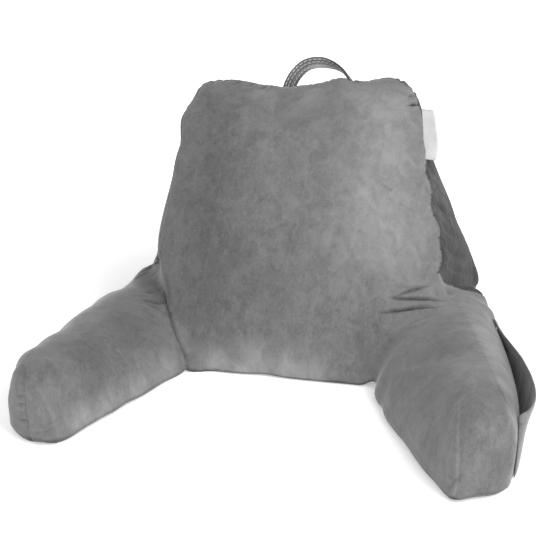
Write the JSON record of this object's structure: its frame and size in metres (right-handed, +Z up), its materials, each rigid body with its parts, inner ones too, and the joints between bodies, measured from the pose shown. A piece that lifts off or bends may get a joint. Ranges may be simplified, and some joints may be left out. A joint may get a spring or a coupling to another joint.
{
  "type": "reading pillow with arms",
  "caption": "Stuffed velour reading pillow: a wedge back with two arms reaching forward, a pocket on each arm's outer side, a carry handle on top and a bare side label.",
  "frame": {"origin": "on the floor, under the middle of the whole pillow's outer box", "axes": "+Z up; the reader sits between the arms and faces -Y, so the arms reach towards -Y and the back rises at +Y; +X is the right arm of the picture"},
  "size_m": [0.8484, 0.719, 0.506],
  "materials": {
    "velour": "mid-grey brushed velour with a short nap",
    "label_tape": "plain white woven tape"
  },
  "bodies": {
    "root": {"back_cushion": "velour", "arm_right": "velour", "arm_left": "velour", "pocket_right": "velour", "pocket_left": "velour", "handle": "velour", "label": "label_tape"}
  },
  "joints": []
}
